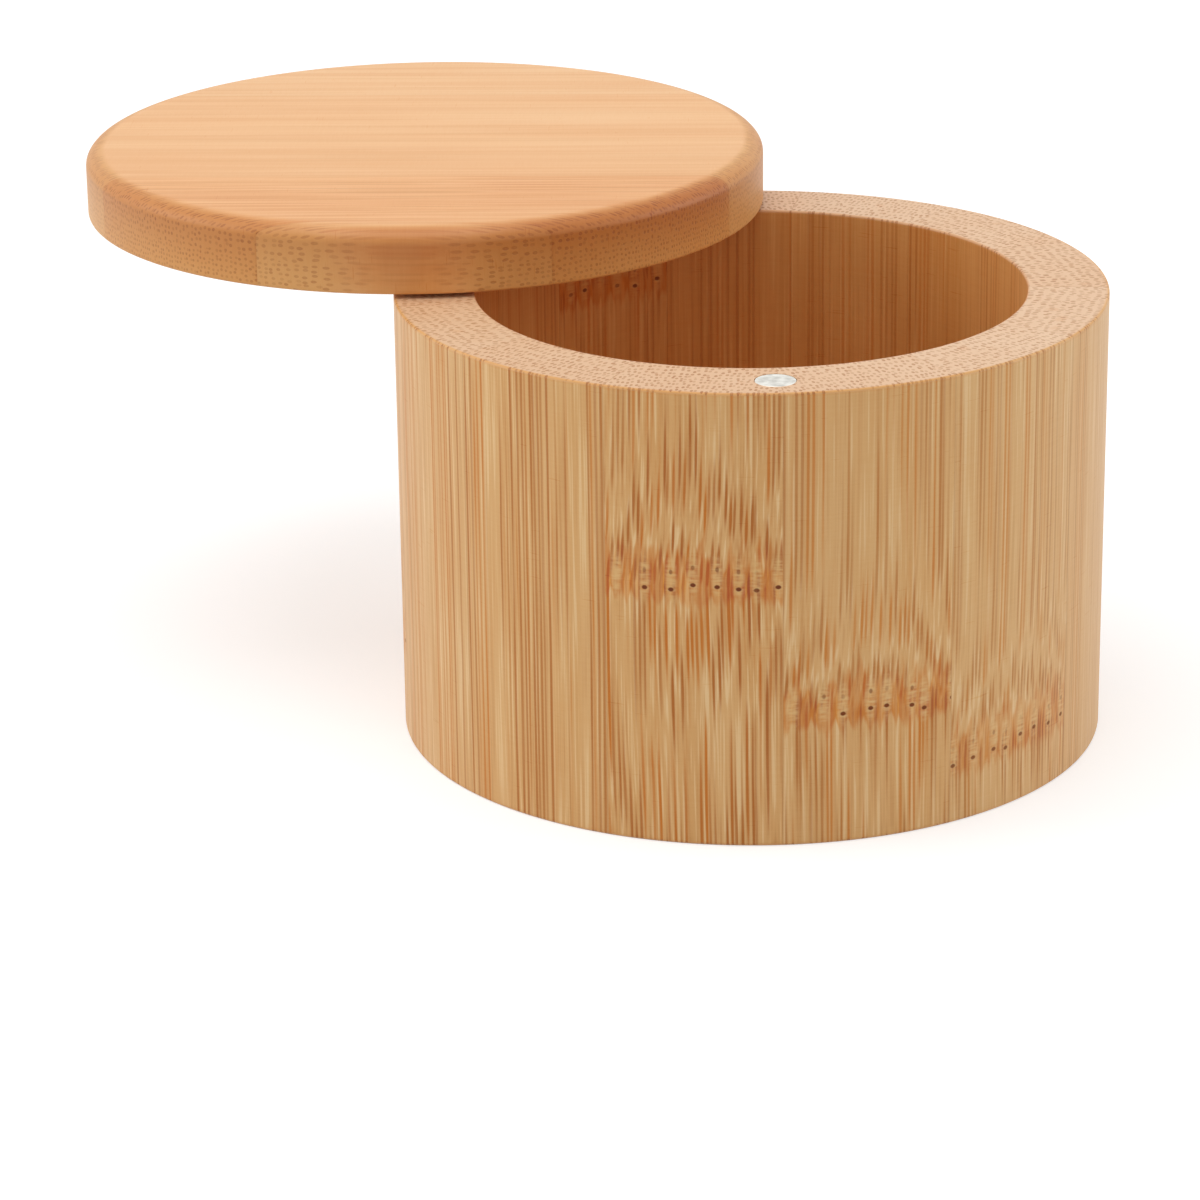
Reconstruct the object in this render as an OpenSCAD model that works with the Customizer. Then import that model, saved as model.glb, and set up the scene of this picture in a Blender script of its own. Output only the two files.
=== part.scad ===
// Round bamboo salt box with a swivel lid.
// The wall is coopered from upright staves, the floor and the lid are glued up from strips,
// and the lid swings flat about a steel pin in the rim and is held shut by two disc magnets.
// Seen from the front, +X is right, +Y is the back and +Z is up. The origin is under the middle of the box.

/* [Box] */
// Outside diameter of the wall
box_d = 90; // [75:0.5:130]
// Height from the table to the rim
box_h = 57.5; // [45:0.5:80]
// Thickness of the wall
wall_t = 10.2; // [8:0.1:14]
// Width of the sanded edge on rim and foot
edge_ease = 0.3; // [0.1:0.05:0.6]
// Where the seam beside the magnet lies, in degrees to the right of the front
seam_turn = 4.9; // [0:0.1:27]

/* [Floor] */
// Thickness of the floor board
floor_t = 8; // [5:0.5:12]
// Width of the narrow strip at one side of the floor board, beside three even ones
floor_edge_w = 13; // [6:0.5:16]
// Direction of the floor's grain, in degrees from the X axis
floor_turn = 35; // [0:5:175]
// Gap all round between the floor board and the wall, filled by glue
floor_gap = 0.05; // [0.02:0.01:0.2]

/* [Lid] */
// How far the lid stands out past the wall all round when it is closed
lid_overhang = 0.2; // [0:0.1:3]
// Thickness of the lid
lid_t = 8.4; // [7.8:0.1:12]
// How far the rounded top edge reaches in from the side
round_w = 3; // [1:0.1:5]
// How far the rounded top edge reaches down from the top
round_h = 2; // [1:0.1:5]
// Width of the narrow strip at one edge of the lid, beside four even ones
lid_edge_w = 4; // [2:0.5:16]

/* [Swivel] */
// How far the lid has been swung open from closed, in degrees
swing = 90; // [0:1:180]
// Where the pin lies, in degrees to the left of the back
pin_turn = 3; // [0:0.5:10]
// Distance of the pin from the wall's outer face
pin_inset = 3.6; // [3.6:0.1:5]
// Diameter of the steel pin
pin_d = 3; // [2:0.1:4]
// Length of the steel pin
pin_l = 14; // [12:0.5:16]
// How deep the pin sits in the rim
pin_seat = 8; // [6:0.5:10]
// Radial gap between the pin and its hole in the rim, filled by glue
pin_glue = 0.02; // [0.01:0.01:0.1]
// Radial play of the pin in the lid
pin_play = 0.05; // [0.02:0.01:0.1]
// Free depth past each end of the pin
pin_end_gap = 0.3; // [0.1:0.1:0.6]

/* [Washer] */
// Outside diameter of the washer that keeps the lid off the rim
washer_d = 7; // [6:0.1:7]
// Radial gap between the washer and the pin
washer_fit = 0.1; // [0.05:0.05:0.3]
// Thickness of the washer
washer_t = 0.5; // [0.3:0.1:1]
// Play between the washer and the lid
washer_play = 0.05; // [0.02:0.01:0.2]

/* [Magnets] */
// Diameter of the two disc magnets
magnet_d = 5; // [4:0.1:6]
// Thickness of a disc magnet
magnet_t = 3; // [2:0.1:4]
// Where the magnets meet, in degrees to the right of the front
magnet_turn = 4.2; // [0:0.1:10]
// Gap between a magnet and its pocket, filled by glue
magnet_glue = 0.05; // [0.02:0.01:0.2]

/* [Hidden] */

$fn = 96;
stave_count = 13;
stave_angle = 360 / stave_count;
round_steps = 10;
box_r = box_d / 2;
bore_r = box_r - wall_t;
floor_r = bore_r - floor_gap;
floor_strip_w = (2 * floor_r - floor_edge_w) / 3;
lid_r = box_r + lid_overhang;
lid_strip_w = (2 * lid_r - lid_edge_w) / 4;
pin_r = box_r - pin_inset;
magnet_r = box_r - wall_t / 2;
// The lid's underside, with the lid resting on the washer
lid_z = box_h + washer_t + washer_play;
// Depth of the pin's hole in the lid
pin_lid_hole = pin_l - pin_seat - (lid_z - box_h) + pin_end_gap;
// Directions of the pin and the magnets round the box, measured from the front
pin_dir = 180 + pin_turn;
magnet_dir = magnet_turn;

bamboo_wall = "#D9B583";
bamboo_floor = "#D8A663";
bamboo_lid = "#EFC79A";
steel = "#B9BCC0";
nickel = "#D8DDD8";

// Places its children at radius r, in the direction dir round the box from the front
module at_front(r, dir) {
    rotate([0, 0, dir])
        translate([0, -r, 0])
            children();
}

// Turns its children with the lid about the pin, from closed to where the photograph shows it
module swung() {
    at_front(pin_r, pin_dir)
        rotate([0, 0, -swing])
            rotate([0, 0, -pin_dir])
                translate([-pin_r * sin(pin_dir), pin_r * cos(pin_dir), 0])
                    children();
}

// Cross-section of the wall, an upright strip with sanded edges at the rim and the foot
module wall_section() {
    polygon([
        [bore_r, 0],
        [box_r - edge_ease, 0],
        [box_r, edge_ease],
        [box_r, box_h - edge_ease],
        [box_r - edge_ease, box_h],
        [bore_r + edge_ease, box_h],
        [bore_r, box_h - edge_ease]
    ]);
}

// Pocket of the magnet in the rim, which the seam beside it cuts in two
module rim_magnet_pocket() {
    at_front(magnet_r, magnet_dir)
        translate([0, 0, box_h - magnet_t - magnet_glue])
            cylinder(d = magnet_d + 2 * magnet_glue, h = magnet_t + 2 * magnet_glue);
}

// Hole of the pin in the rim
module rim_pin_hole() {
    at_front(pin_r, pin_dir)
        translate([0, 0, box_h - pin_seat - pin_end_gap])
            cylinder(d = pin_d + 2 * pin_glue, h = pin_seat + 2 * pin_end_gap);
}

// One stave of the wall, counted to the right from the seam beside the magnet
module stave(number) {
    color(bamboo_wall)
        difference() {
            rotate([0, 0, seam_turn - 90 + stave_angle * (number - 1)])
                rotate_extrude(angle = stave_angle, $fn = 192)
                    wall_section();
            rim_magnet_pocket();
            rim_pin_hole();
        }
}

// What one strip takes up of a board: a slab that starts at a seam and runs along the grain
module slab(seam, width, reach, height) {
    translate([-reach, seam, 0])
        cube([2 * reach, width, height]);
}

// One strip of the floor board, counted from the front, the narrow one last
module floor_strip(number) {
    seam = -floor_r + (number - 1) * floor_strip_w;
    width = number == 4 ? floor_edge_w : floor_strip_w;
    color(bamboo_floor)
        rotate([0, 0, floor_turn])
            intersection() {
                cylinder(r = floor_r, h = floor_t);
                slab(seam, width, floor_r, floor_t);
            }
}

// Cross-section of the lid, with the elliptical rounding of its top edge
module lid_section() {
    polygon(concat(
        [[0, 0], [lid_r - edge_ease, 0], [lid_r, edge_ease]],
        [for (step = [0 : round_steps])
            let (turn = 90 * step / round_steps)
            [lid_r - round_w * (1 - cos(turn)), lid_t - round_h * (1 - sin(turn))]],
        [[0, lid_t]]
    ));
}

// Pocket of the magnet in the lid's underside, in the closed lid's place
module lid_magnet_pocket() {
    at_front(magnet_r, magnet_dir)
        translate([0, 0, -magnet_glue])
            cylinder(d = magnet_d + 2 * magnet_glue, h = magnet_t + 2 * magnet_glue);
}

// Blind hole of the pin in the lid's underside, in the closed lid's place
module lid_pin_hole() {
    at_front(pin_r, pin_dir)
        translate([0, 0, -pin_end_gap])
            cylinder(d = pin_d + 2 * pin_play, h = pin_lid_hole + pin_end_gap);
}

// One strip of the lid, the narrow one first, which is at the front when the lid is swung open
module lid_strip(number) {
    seam = number == 1 ? -lid_r : -lid_r + lid_edge_w + (number - 2) * lid_strip_w;
    width = number == 1 ? lid_edge_w : lid_strip_w;
    color(bamboo_lid)
        translate([0, 0, lid_z])
            swung()
                difference() {
                    rotate([0, 0, 90])
                        intersection() {
                            rotate_extrude($fn = 192)
                                lid_section();
                            slab(seam, width, lid_r, lid_t);
                        }
                    lid_magnet_pocket();
                    lid_pin_hole();
                }
}

// Steel dowel, glued into the rim, on which the lid turns
module pivot_pin() {
    color(steel)
        at_front(pin_r, pin_dir)
            translate([0, 0, box_h - pin_seat])
                cylinder(d = pin_d, h = pin_l);
}

// Washer round the pin that carries the lid just above the rim
module spacer_washer() {
    color(steel)
        at_front(pin_r, pin_dir)
            translate([0, 0, box_h])
                difference() {
                    cylinder(d = washer_d, h = washer_t);
                    translate([0, 0, -washer_t])
                        cylinder(d = pin_d + 2 * washer_fit, h = 3 * washer_t);
                }
}

// Disc magnet let into the rim, flush with it
module rim_magnet() {
    color(nickel)
        at_front(magnet_r, magnet_dir)
            translate([0, 0, box_h - magnet_t])
                cylinder(d = magnet_d, h = magnet_t);
}

// Disc magnet let into the lid, flush with its underside and over the rim's magnet when closed
module lid_magnet() {
    color(nickel)
        translate([0, 0, lid_z])
            swung()
                at_front(magnet_r, magnet_dir)
                    cylinder(d = magnet_d, h = magnet_t);
}

stave(1);  // stave_01
stave(2);  // stave_02
stave(3);  // stave_03
stave(4);  // stave_04
stave(5);  // stave_05
stave(6);  // stave_06
stave(7);  // stave_07
stave(8);  // stave_08
stave(9);  // stave_09
stave(10);  // stave_10
stave(11);  // stave_11
stave(12);  // stave_12
stave(13);  // stave_13
floor_strip(1);  // floor_strip_1
floor_strip(2);  // floor_strip_2
floor_strip(3);  // floor_strip_3
floor_strip(4);  // floor_strip_4
lid_strip(1);  // lid_strip_1
lid_strip(2);  // lid_strip_2
lid_strip(3);  // lid_strip_3
lid_strip(4);  // lid_strip_4
lid_strip(5);  // lid_strip_5
pivot_pin();
spacer_washer();
rim_magnet();
lid_magnet();
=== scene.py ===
"""Round bamboo salt box with a swivel lid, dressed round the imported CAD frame.

The wall is coopered from thirteen staves, the floor and the lid are glued up from strips, and the lid swings on a
steel pin and closes with two disc magnets. Sizes are in millimetres, as in the part's source, and become metres
where a mesh is made. +X is to the right, +Y to the back and +Z up. A direction is counted in degrees round the box
from its front, towards the right.
"""

import logging
import math
from dataclasses import dataclass, field
from enum import Enum
from functools import partial
from typing import Callable, Sequence

import bmesh
import bpy
import numpy as np
from mathutils import Matrix

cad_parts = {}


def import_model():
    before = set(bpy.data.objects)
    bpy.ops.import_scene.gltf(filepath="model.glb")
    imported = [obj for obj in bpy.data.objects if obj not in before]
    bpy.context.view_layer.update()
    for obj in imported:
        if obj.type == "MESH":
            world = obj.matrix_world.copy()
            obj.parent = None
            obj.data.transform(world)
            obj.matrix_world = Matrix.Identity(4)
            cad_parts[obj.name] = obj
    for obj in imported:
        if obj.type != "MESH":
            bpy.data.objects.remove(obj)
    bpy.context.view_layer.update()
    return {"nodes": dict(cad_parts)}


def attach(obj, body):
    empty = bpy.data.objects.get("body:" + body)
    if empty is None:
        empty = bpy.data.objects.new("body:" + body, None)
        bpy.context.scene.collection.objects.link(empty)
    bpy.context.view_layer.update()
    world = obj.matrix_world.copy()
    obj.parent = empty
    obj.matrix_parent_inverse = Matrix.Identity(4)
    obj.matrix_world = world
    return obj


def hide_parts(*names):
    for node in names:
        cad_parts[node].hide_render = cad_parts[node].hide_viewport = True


LOG = logging.getLogger("salt_box")
METRES = 0.001
UP = (0.0, 0.0, 1.0)
WHITE = (1.0, 1.0, 1.0, 1.0)
# Edges sharper than this stay sharp when a piece is shaded.
CREASE = math.radians(35)
# Points that lie closer than this, in metres, are one.
TOUCH = 1e-8
ARC_POINTS = 5

Piece = bpy.types.Object
Material = bpy.types.Material
Socket = bpy.types.NodeSocket
Sockets = dict[str, Socket]
Put = Callable[..., Socket]
Pair = tuple[float, float]
Triple = tuple[float, float, float]
TwoArrays = tuple[np.ndarray, np.ndarray]
TintsAndShade = Callable[[np.ndarray], TwoArrays]


class Body(Enum):
    """The two bodies of the record, which the lid's swivel joins."""

    BOX = "box"
    LID = "lid"


class Slot(Enum):
    """The record's material slots."""

    WALL = "bamboo_wall"
    FLOOR = "bamboo_floor"
    LID = "bamboo_lid"
    STEEL = "steel"
    NICKEL = "nickel"


# --- shapes ---


def linear(colour: str) -> tuple[float, float, float, float]:
    """Turns an sRGB hex colour to linear light: c / 12.92 below 0.04045, else ((c + 0.055) / 1.055) ** 2.4.

    Args:
        colour: Six hex digits after a hash mark.

    Returns:
        Red, green, blue and an alpha of 1.
    """
    part = np.array([int(colour[i : i + 2], 16) / 255 for i in (1, 3, 5)])
    light = np.where(part <= 0.04045, part / 12.92, ((part + 0.055) / 1.055) ** 2.4)
    return (*light.tolist(), 1.0)


def outward(direction: float | np.ndarray) -> np.ndarray:
    """Unit vectors, (sin, -cos, 0), away from the axis in one or more directions in degrees round from the front."""
    turn = np.radians(direction)
    return np.stack([np.sin(turn), -np.cos(turn), np.zeros_like(turn)], axis=-1)


def smooth(value: np.ndarray, low: float, high: float) -> np.ndarray:
    """Eases numbers from 0 at low to 1 at high: 3 t^2 - 2 t^3 of the clamped share t."""
    share = np.clip((value - low) / (high - low), 0.0, 1.0)
    return share * share * (3.0 - 2.0 * share)


def eased_outline(corners: np.ndarray, radii: np.ndarray, margin: float = 0.25) -> np.ndarray:
    """Rounds each corner of a closed outline with an arc, and adds a point a little before and after each arc.

    The arc's centre lies on the corner's bisector, at radius / sin(half the corner's angle), and its points are
    blended from the arc's start to its end by the sine rule.

    Args:
        corners: The outline's corners in order, as an array of (radius, height).
        radii: The rounding of each corner, above 0.
        margin: Distance of the extra points from the arcs' ends.

    Returns:
        The rounded outline as an array of (radius, height).
    """
    to_last = np.roll(corners, 1, axis=0) - corners
    to_next = np.roll(corners, -1, axis=0) - corners
    to_last /= np.linalg.norm(to_last, axis=1, keepdims=True)
    to_next /= np.linalg.norm(to_next, axis=1, keepdims=True)
    half = np.arccos(np.sum(to_last * to_next, axis=1)) / 2
    reach = (radii / np.tan(half))[:, None]
    middle = to_last + to_next
    middle /= np.linalg.norm(middle, axis=1, keepdims=True)
    centre = corners + middle * (radii / np.sin(half))[:, None]
    start, end = corners + to_last * reach - centre, corners + to_next * reach - centre
    swept = (math.pi - 2 * half)[:, None, None]
    share = np.linspace(0, 1, ARC_POINTS)[None, :, None]
    arc = centre[:, None] + (
        start[:, None] * np.sin((1 - share) * swept) + end[:, None] * np.sin(share * swept)
    ) / np.sin(swept)
    before = (corners + to_last * (reach + margin))[:, None]
    after = (corners + to_next * (reach + margin))[:, None]
    return np.concatenate([before, arc, after], axis=1).reshape(-1, 2)


def shade(piece: Piece) -> None:
    """Shades a piece smooth, apart from its sharp edges."""
    piece.data.shade_smooth()
    piece.data.set_sharp_from_angle(angle=CREASE)


def completed(name: str, mesh: bpy.types.Mesh, editable: bmesh.types.BMesh) -> Piece:
    """Turns the faces of an edited shape outwards, writes it into a mesh and makes a piece of that.

    Args:
        name: Name of the piece.
        mesh: The mesh.
        editable: The edited shape, which is freed.

    Returns:
        The new object, at the origin and unturned.
    """
    bmesh.ops.recalc_face_normals(editable, faces=editable.faces[:])
    editable.to_mesh(mesh)
    editable.free()
    piece = bpy.data.objects.new(name, mesh)
    bpy.context.scene.collection.objects.link(piece)
    shade(piece)
    return piece


def mesh_piece(name: str, points: np.ndarray, faces: list[list[int]]) -> Piece:
    """Makes a closed piece from points and faces, with doubles merged.

    Args:
        name: Name of the piece.
        points: Array of x, y, z in millimetres.
        faces: Point numbers of each face.

    Returns:
        The new piece.
    """
    mesh = bpy.data.meshes.new(name)
    mesh.from_pydata((points * METRES).tolist(), [], faces)
    editable = bmesh.new()
    editable.from_mesh(mesh)
    bmesh.ops.remove_doubles(editable, verts=editable.verts[:], dist=TOUCH)
    return completed(name, mesh, editable)


def grid_faces(rows: int, columns: int, wrap_rows: bool, wrap_columns: bool) -> list[list[int]]:
    """Joins a grid of points, numbered row by row, with four-sided faces.

    Args:
        rows: How many rows of points.
        columns: How many points in a row.
        wrap_rows: Whether the last row joins the first.
        wrap_columns: Whether the last column joins the first.

    Returns:
        The point numbers of each face.
    """
    number = np.arange(rows * columns).reshape(rows, columns)
    if wrap_rows:
        number = np.vstack([number, number[:1]])
    if wrap_columns:
        number = np.hstack([number, number[:, :1]])
    quads = np.stack([number[:-1, :-1], number[1:, :-1], number[1:, 1:], number[:-1, 1:]], axis=-1)
    return quads.reshape(-1, 4).tolist()


def swept_sector(name: str, outline: np.ndarray, start: float, end: float, steps: int) -> Piece:
    """Carries a closed outline round the axis from one direction to another and closes both ends.

    A point at (radius, height) of the outline goes to radius * outward(direction), raised by height.

    Args:
        name: Name of the piece.
        outline: Array of (radius, height).
        start: First direction in degrees.
        end: Last direction in degrees.
        steps: Steps between the two.

    Returns:
        The new piece.
    """
    spokes = outward(np.linspace(start, end, steps + 1))[:, None, :]
    grid = spokes * outline[None, :, :1] + np.array(UP) * outline[None, :, 1:]
    count = len(outline)
    faces = grid_faces(steps + 1, count, False, True)
    faces += [list(range(count)), list(range(steps * count, (steps + 1) * count))]
    return mesh_piece(name, grid.reshape(-1, 3), faces)


def turned(name: str, outline: np.ndarray, centre: Sequence[float], steps: int, ring: bool = False) -> Piece:
    """Turns an outline right round an upright axis: (radius, height) goes to every direction at that radius.

    Args:
        name: Name of the piece.
        outline: Array of (radius, height), from the axis to the axis, or a closed loop if ring is set.
        centre: x, y and z of the axis' foot.
        steps: Steps round the axis.
        ring: Whether the outline is a closed loop that stays clear of the axis.

    Returns:
        The new piece.
    """
    spokes = outward(np.arange(steps) * 360 / steps)[:, None, :]
    grid = spokes * outline[None, :, :1] + np.array(UP) * outline[None, :, 1:] + np.array(centre)
    faces = grid_faces(steps, len(outline), True, ring)
    return mesh_piece(name, grid.reshape(-1, 3), faces)


def sliced(piece: Piece, name: str, normal: np.ndarray, low: float, high: float) -> Piece:
    """Copies the slice of a piece that lies between two parallel planes, and closes the cuts.

    Args:
        piece: The piece that is sliced, which stays as it is.
        name: Name of the slice.
        normal: Unit normal of both planes.
        low: Distance of the first plane from the origin along the normal, in millimetres.
        high: Distance of the second plane.

    Returns:
        The new piece.
    """
    editable = bmesh.new()
    editable.from_mesh(piece.data)
    for offset, side in ((low, -1.0), (high, 1.0)):
        whole = editable.verts[:] + editable.edges[:] + editable.faces[:]
        cut = bmesh.ops.bisect_plane(
            editable,
            geom=whole,
            dist=TOUCH,
            plane_co=(normal * offset * METRES).tolist(),
            plane_no=(normal * side).tolist(),
            clear_outer=True,
        )
        rim = [item for item in cut["geom_cut"] if isinstance(item, bmesh.types.BMEdge)]
        if rim:
            bmesh.ops.contextual_create(editable, geom=rim)
    return completed(name, bpy.data.meshes.new(name), editable)


def cut_by(piece: Piece, cutters: Sequence[Piece]) -> None:
    """Takes closed cutters out of a piece and gives it the result as its mesh.

    Args:
        piece: The piece that is cut.
        cutters: The cutting pieces, which stay as they are.
    """
    for cutter in cutters:
        boolean = piece.modifiers.new("cut", "BOOLEAN")
        boolean.object = cutter
        boolean.operation = "DIFFERENCE"
        boolean.solver = "EXACT"
    seen = piece.evaluated_get(bpy.context.evaluated_depsgraph_get())
    mesh = bpy.data.meshes.new_from_object(seen)
    mesh.name = piece.name
    piece.modifiers.clear()
    old, piece.data = piece.data, mesh
    bpy.data.meshes.remove(old)
    shade(piece)


def discard(pieces: Sequence[Piece]) -> None:
    """Removes helper pieces, which go with their meshes."""
    for piece in pieces:
        bpy.data.meshes.remove(piece.data)


def disc_outline(radius: float, low: float, high: float, ease: float) -> np.ndarray:
    """Outline of a disc or pin from axis to axis, with eased edges.

    Args:
        radius: Radius of the disc.
        low: Height of its lower face.
        high: Height of its upper face.
        ease: Radius of its edges.

    Returns:
        The outline as (radius, height).
    """
    box = np.array([[-radius, low], [radius, low], [radius, high], [-radius, high]])
    rounded = eased_outline(box, np.full(4, ease), margin=ease)
    right = rounded[rounded[:, 0] > 0]
    return np.vstack([[0.0, low], right, [0.0, high]])


# --- strips ---


@dataclass(frozen=True)
class Node:
    """A row of the culm's nodes across a strip.

    It has a height along the grain at the strip's middle, a rise for each millimetre across, and a strength from 0,
    where there is none, to 1.
    """

    height: float
    rise: float = 0.0
    strength: float = 1.0


NO_NODE = Node(height=-900.0, strength=0.0)


@dataclass(frozen=True)
class Strip:
    """One strip of bamboo: where its grain lies in the object, and what tells it from its neighbours.

    The grain is measured in millimetres from the heart: across the strip, from the culm's inside to its outside,
    and along the grain.
    """

    heart: Triple
    across: Triple
    depth: Triple
    along: Triple
    seams: tuple[tuple[Triple, float], ...]
    seed: float
    tone: float = 1.0
    contrast: float = 1.0
    wild: float = 1.0
    node: Node = NO_NODE

    def dress(self, piece: Piece, tints_and_shade: TintsAndShade) -> None:
        """Writes the strip's grain onto a piece as attributes that the bamboo finish reads.

        grain_mm is the point's place in the grain, strip_look the seed, tone and contrast, strip_node the distance
        from the node row, its strength and how much the bundles wander, seam_mm the distances from the two seams,
        wear_share the edge tint and the bore's tint, which are in part painted shade, and end_share, for
        each corner of a face, how squarely the surface cuts the grain: the absolute dot product of its normal and
        the grain.

        Args:
            piece: The piece.
            tints_and_shade: Gives the edge tint and the bore's tint, each from 0 to 1, for an array of points in
                millimetres.
        """
        mesh = piece.data
        points = read(mesh.vertices, "co") / METRES
        grain = (points - np.array(self.heart)) @ np.array([self.across, self.depth, self.along]).T
        row = grain[:, 2] - self.node.height - self.node.rise * grain[:, 0]
        none = np.zeros(len(points))
        seams = [points @ np.array(normal) - offset for normal, offset in self.seams]
        columns = {
            "grain_mm": grain.T,
            "strip_look": (none + self.seed, none + self.tone, none + self.contrast),
            "strip_node": (row, none + self.node.strength, none + self.wild),
            "seam_mm": (*seams, none),
            "wear_share": (*tints_and_shade(points), none),
        }
        for name, column in columns.items():
            write(mesh, name, "POINT", np.stack(column, axis=1))
        normals = read(mesh.corner_normals, "vector")
        write(mesh, "end_share", "CORNER", np.abs(normals @ np.array(self.along)))


def read(items: bpy.types.bpy_prop_collection, key: str) -> np.ndarray:
    """Reads one vector of every item of a mesh's collection.

    Args:
        items: The collection, such as a mesh's vertices.
        key: Name of the vector.

    Returns:
        An array with a row for each item.
    """
    values = np.empty(len(items) * 3, np.float32)
    items.foreach_get(key, values)
    return values.reshape(-1, 3).astype(float)


def write(mesh: bpy.types.Mesh, name: str, domain: str, values: np.ndarray) -> None:
    """Writes an attribute of one number or one vector for each point or corner.

    Args:
        mesh: The mesh.
        name: Name of the attribute.
        domain: POINT or CORNER.
        values: An array of numbers, or of rows of three.
    """
    kind, key = ("FLOAT", "value") if values.ndim == 1 else ("FLOAT_VECTOR", "vector")
    attribute = mesh.attributes.new(name, kind, domain)
    attribute.data.foreach_set(key, values.astype(np.float32).ravel())


def untinted(points: np.ndarray) -> TwoArrays:
    """Gives points neither an edge tint nor the bore's tint."""
    return np.zeros(len(points)), np.zeros(len(points))


# --- finishes ---

# Settings that many nodes share.
TIMES = {"operation": "MULTIPLY"}
PLUS = {"operation": "ADD"}
TIMES_PLUS = {"operation": "MULTIPLY_ADD"}
SCALED = {"operation": "SCALE"}
EASED = {"interpolation_type": "SMOOTHSTEP"}
COLOURS = {"data_type": "RGBA", "out": 2}

# How far apart two strips whose seeds differ by one lie in the patterns, and in the row of roots.
SEED_STEP_MM = (13.7, 7.3, 91.0)
ROOT_STEP_MM = 31.7


def add(
    tree: bpy.types.NodeTree,
    kind: str,
    *values: object,
    sockets: dict[int | str, object] | None = None,
    out: int | str = 0,
    **settings: object,
) -> Socket | None:
    """Adds a node with its settings, its values and its links.

    Args:
        tree: The node tree.
        kind: The node's type, without its ShaderNode prefix.
        *values: What goes into the first inputs, in order: a socket is linked, anything else is set.
        sockets: What goes into further inputs, by number or name.
        out: The output that is wanted, by number or name.
        **settings: Properties of the node.

    Returns:
        The wanted output, or None if the node has none.
    """
    node = tree.nodes.new("ShaderNode" + kind)
    for key, value in settings.items():
        setattr(node, key, value)
    for key, value in {**dict(enumerate(values)), **(sockets or {})}.items():
        if isinstance(value, Socket):
            tree.links.new(value, node.inputs[key])
        else:
            node.inputs[key].default_value = value
    return node.outputs[out] if node.outputs else None


def blank_material(name: str) -> tuple[Material, Put]:
    """Starts a material with an empty node tree.

    Args:
        name: Name of the material.

    Returns:
        The material, and the function add for its tree.
    """
    material = bpy.data.materials.new(name)
    material.use_nodes = True
    material.node_tree.nodes.clear()
    return material, partial(add, material.node_tree)


def between(first: Socket | str, last: Socket | str) -> dict[int, object]:
    """Gives the inputs of a colour mix its two colours, each a socket or an sRGB hex colour."""
    return {key: linear(tint) if isinstance(tint, str) else tint for key, tint in ((6, first), (7, last))}


def strip_sockets(put: Put) -> Sockets:
    """Reads what Strip.dress wrote on a piece.

    Args:
        put: Adds a node to the material.

    Returns:
        Each number by its name, and the place in the grain, moved to the strip's own part of the patterns.
    """
    parts = {
        "grain_mm": ("across", "depth"),
        "strip_look": ("seed", "tone", "contrast"),
        "strip_node": ("above", "strength", "wild"),
        "seam_mm": ("left", "right"),
        "wear_share": ("burnish", "bore"),
    }
    found = {"end": put("Attribute", out="Fac", attribute_name="end_share")}
    vectors = {name: put("Attribute", out="Vector", attribute_name=name) for name in parts}
    for name, numbers in parts.items():
        found.update(zip(numbers, put("SeparateXYZ", vectors[name]).node.outputs))
    shift = put("VectorMath", SEED_STEP_MM, sockets={"Scale": found["seed"]}, **SCALED)
    found["place"] = put("VectorMath", vectors["grain_mm"], shift, **PLUS)
    return found


@dataclass(frozen=True)
class Noise:
    """Soft noise, drawn out by having other numbers of features in a millimetre across, through and along."""

    per_mm: Triple
    detail: float = 1.0

    def draw(self, put: Put, place: Socket, out: int | str = 0) -> Socket:
        """Draws the noise in a place given in millimetres, and returns its value or another output."""
        squeezed = put("VectorMath", place, self.per_mm, **TIMES)
        return put("TexNoise", squeezed, sockets={"Scale": 1.0, "Detail": self.detail}, out=out)


@dataclass(frozen=True)
class RootMark:
    """An oval mark of a root in a node row: how high it lies, its half width and half height, and its soft edge."""

    raised_mm: float
    wide_mm: float
    tall_mm: float
    soft: float

    def draw(self, put: Put, sideways: Socket, height: Socket) -> Socket:
        """Draws the mark: 1 inside the ellipse (sideways / wide)^2 + ((height - raised) / tall)^2 = 1.

        Args:
            put: Adds a node.
            sideways: Distance from the root's middle along the row.
            height: Height above the root's middle.

        Returns:
            The mark's share, from 0 to 1.
        """
        far = put("CombineXYZ", sideways, put("Math", height, self.raised_mm, operation="SUBTRACT"))
        far = put("VectorMath", far, (1 / self.wide_mm, 1 / self.tall_mm, 0.0), **TIMES)
        far = put("VectorMath", far, out="Value", operation="LENGTH")
        return put("MapRange", far, 1.0 + self.soft, 1.0 - self.soft, **EASED)


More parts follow.
